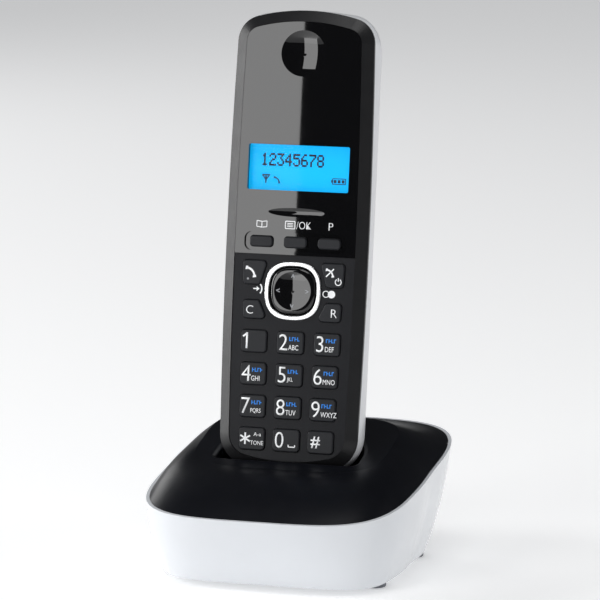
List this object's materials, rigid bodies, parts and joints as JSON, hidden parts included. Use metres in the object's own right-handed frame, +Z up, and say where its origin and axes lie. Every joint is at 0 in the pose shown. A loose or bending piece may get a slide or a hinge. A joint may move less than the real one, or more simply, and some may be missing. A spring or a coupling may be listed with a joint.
{
  "type": "cordless phone with base",
  "caption": "Slim cordless handset with keypad, round navigation key and blue display, leaning back in a small white and black charging base.",
  "frame": {"origin": "centre of the base on the table, under the middle of the bounding box", "axes": "+X to the right of a person facing the keys, +Y to the back, +Z up"},
  "size_m": [0.0882, 0.1046, 0.1816],
  "materials": {
    "frame_black": "fine satin texture",
    "gloss_black": "high gloss",
    "window": "clear tinted",
    "lcd": "backlit blue",
    "guide_white": "translucent",
    "keypad_black": "matte",
    "key_black": "matte with printed legends",
    "ring_silver": "satin silver plating",
    "dark_plastic": "matte",
    "mat_rubber": "matte",
    "foil": "satin",
    "board": "green solder mask",
    "speaker": "satin",
    "contact_metal": "bright nickel",
    "screw_steel": "zinc plated",
    "white_shell": "satin gloss",
    "cell_sleeve": "printed sleeve",
    "white_gloss": "gloss",
    "foot_rubber": "matte",
    "cover_black": "satin gloss"
  },
  "bodies": {
    "base": {"base_housing": "white_gloss", "top_cover": "cover_black", "base_board": "board", "base_antenna": "contact_metal", "line_socket": "dark_plastic", "power_socket": "dark_plastic", "rubber_feet": "foot_rubber", "base_screws": "screw_steel", "contact_holder": "dark_plastic"},
    "handset": {"front_frame": "frame_black", "front_panel": "gloss_black", "display_window": "window", "display_glass": "lcd", "light_guide": "guide_white", "keypad_panel": "keypad_black", "nav_ring": "ring_silver", "key_mat": "mat_rubber", "dome_foil": "foil", "handset_board": "board", "earpiece": "speaker", "ringer": "speaker", "microphone": "contact_metal", "back_housing": "white_shell", "battery_cell_left": "cell_sleeve", "battery_cell_right": "cell_sleeve", "battery_springs": "contact_metal", "battery_plates": "contact_metal", "charge_terminals": "contact_metal", "handset_screws": "screw_steel"},
    "battery_cover": {"battery_cover": "white_shell"},
    "nav_rocker": {"nav_rocker": "dark_plastic"},
    "nav_key": {"nav_key": "gloss_black"},
    "charge_contact_left": {"charge_contact_left": "contact_metal"},
    "charge_contact_right": {"charge_contact_right": "contact_metal"},
    "locator_button": {"locator_button": "cover_black"},
    "key_talk": {"key_talk": "key_black"},
    "key_off": {"key_off": "key_black"},
    "key_clear": {"key_clear": "key_black"},
    "key_recall": {"key_recall": "key_black"},
    "key_1": {"key_1": "key_black"},
    "key_2": {"key_2": "key_black"},
    "key_3": {"key_3": "key_black"},
    "key_4": {"key_4": "key_black"},
    "key_5": {"key_5": "key_black"},
    "key_6": {"key_6": "key_black"},
    "key_7": {"key_7": "key_black"},
    "key_8": {"key_8": "key_black"},
    "key_9": {"key_9": "key_black"},
    "key_star": {"key_star": "key_black"},
    "key_0": {"key_0": "key_black"},
    "key_hash": {"key_hash": "key_black"},
    "softkey_left": {"softkey_left": "key_black"},
    "softkey_middle": {"softkey_middle": "key_black"},
    "softkey_right": {"softkey_right": "key_black"}
  },
  "joints": [
    {"name": "handset_lift", "type": "slide", "parent": "base", "child": "handset", "axis": [0, 0.153, 0.9882], "range_m": [0, 0.12]},
    {"name": "battery_cover_release", "type": "slide", "parent": "handset", "child": "battery_cover", "axis": [0, 0.9882, -0.153], "range_m": [0, 0.06]},
    {"name": "key_talk_press", "type": "slide", "parent": "handset", "child": "key_talk", "axis": [0, 0.9882, -0.153], "range_m": [0, 0.0006], "stiffness_N_per_m": 1500},
    {"name": "key_off_press", "type": "slide", "parent": "handset", "child": "key_off", "axis": [0, 0.9882, -0.153], "range_m": [0, 0.0006], "stiffness_N_per_m": 1500},
    {"name": "key_clear_press", "type": "slide", "parent": "handset", "child": "key_clear", "axis": [0, 0.9882, -0.153], "range_m": [0, 0.0006], "stiffness_N_per_m": 1500},
    {"name": "key_recall_press", "type": "slide", "parent": "handset", "child": "key_recall", "axis": [0, 0.9882, -0.153], "range_m": [0, 0.0006], "stiffness_N_per_m": 1500},
    {"name": "key_1_press", "type": "slide", "parent": "handset", "child": "key_1", "axis": [0, 0.9882, -0.153], "range_m": [0, 0.0006], "stiffness_N_per_m": 1500},
    {"name": "key_2_press", "type": "slide", "parent": "handset", "child": "key_2", "axis": [0, 0.9882, -0.153], "range_m": [0, 0.0006], "stiffness_N_per_m": 1500},
    {"name": "key_3_press", "type": "slide", "parent": "handset", "child": "key_3", "axis": [0, 0.9882, -0.153], "range_m": [0, 0.0006], "stiffness_N_per_m": 1500},
    {"name": "key_4_press", "type": "slide", "parent": "handset", "child": "key_4", "axis": [0, 0.9882, -0.153], "range_m": [0, 0.0006], "stiffness_N_per_m": 1500},
    {"name": "key_5_press", "type": "slide", "parent": "handset", "child": "key_5", "axis": [0, 0.9882, -0.153], "range_m": [0, 0.0006], "stiffness_N_per_m": 1500},
    {"name": "key_6_press", "type": "slide", "parent": "handset", "child": "key_6", "axis": [0, 0.9882, -0.153], "range_m": [0, 0.0006], "stiffness_N_per_m": 1500},
    {"name": "key_7_press", "type": "slide", "parent": "handset", "child": "key_7", "axis": [0, 0.9882, -0.153], "range_m": [0, 0.0006], "stiffness_N_per_m": 1500},
    {"name": "key_8_press", "type": "slide", "parent": "handset", "child": "key_8", "axis": [0, 0.9882, -0.153], "range_m": [0, 0.0006], "stiffness_N_per_m": 1500},
    {"name": "key_9_press", "type": "slide", "parent": "handset", "child": "key_9", "axis": [0, 0.9882, -0.153], "range_m": [0, 0.0006], "stiffness_N_per_m": 1500},
    {"name": "key_star_press", "type": "slide", "parent": "handset", "child": "key_star", "axis": [0, 0.9882, -0.153], "range_m": [0, 0.0006], "stiffness_N_per_m": 1500},
    {"name": "key_0_press", "type": "slide", "parent": "handset", "child": "key_0", "axis": [0, 0.9882, -0.153], "range_m": [0, 0.0006], "stiffness_N_per_m": 1500},
    {"name": "key_hash_press", "type": "slide", "parent": "handset", "child": "key_hash", "axis": [0, 0.9882, -0.153], "range_m": [0, 0.0006], "stiffness_N_per_m": 1500},
    {"name": "softkey_left_press", "type": "slide", "parent": "handset", "child": "softkey_left", "axis": [0, 0.9882, -0.153], "range_m": [0, 0.0006], "stiffness_N_per_m": 1500},
    {"name": "softkey_middle_press", "type": "slide", "parent": "handset", "child": "softkey_middle", "axis": [0, 0.9882, -0.153], "range_m": [0, 0.0006], "stiffness_N_per_m": 1500},
    {"name": "softkey_right_press", "type": "slide", "parent": "handset", "child": "softkey_right", "axis": [0, 0.9882, -0.153], "range_m": [0, 0.0006], "stiffness_N_per_m": 1500},
    {"name": "nav_tilt_sideways", "type": "hinge", "parent": "handset", "child": "nav_rocker", "pos_m": [0, -0.00578, 0.0916], "axis": [0, 0.153, 0.9882], "range_deg": [-3, 3], "stiffness_Nm_per_rad": 0.5},
    {"name": "nav_tilt_up_down", "type": "hinge", "parent": "nav_rocker", "child": "nav_key", "pos_m": [0, -0.00578, 0.0916], "axis": [1, 0, 0], "range_deg": [-3, 3], "stiffness_Nm_per_rad": 0.5},
    {"name": "charge_contact_left_spring", "type": "slide", "parent": "base", "child": "charge_contact_left", "axis": [0, 0.153, 0.9882], "range_m": [-0.001, 0], "stiffness_N_per_m": 400},
    {"name": "charge_contact_right_spring", "type": "slide", "parent": "base", "child": "charge_contact_right", "axis": [0, 0.153, 0.9882], "range_m": [-0.001, 0], "stiffness_N_per_m": 400},
    {"name": "locator_press", "type": "slide", "parent": "base", "child": "locator_button", "axis": [0, 0, -1], "range_m": [0, 0.0008], "stiffness_N_per_m": 800}
  ]
}
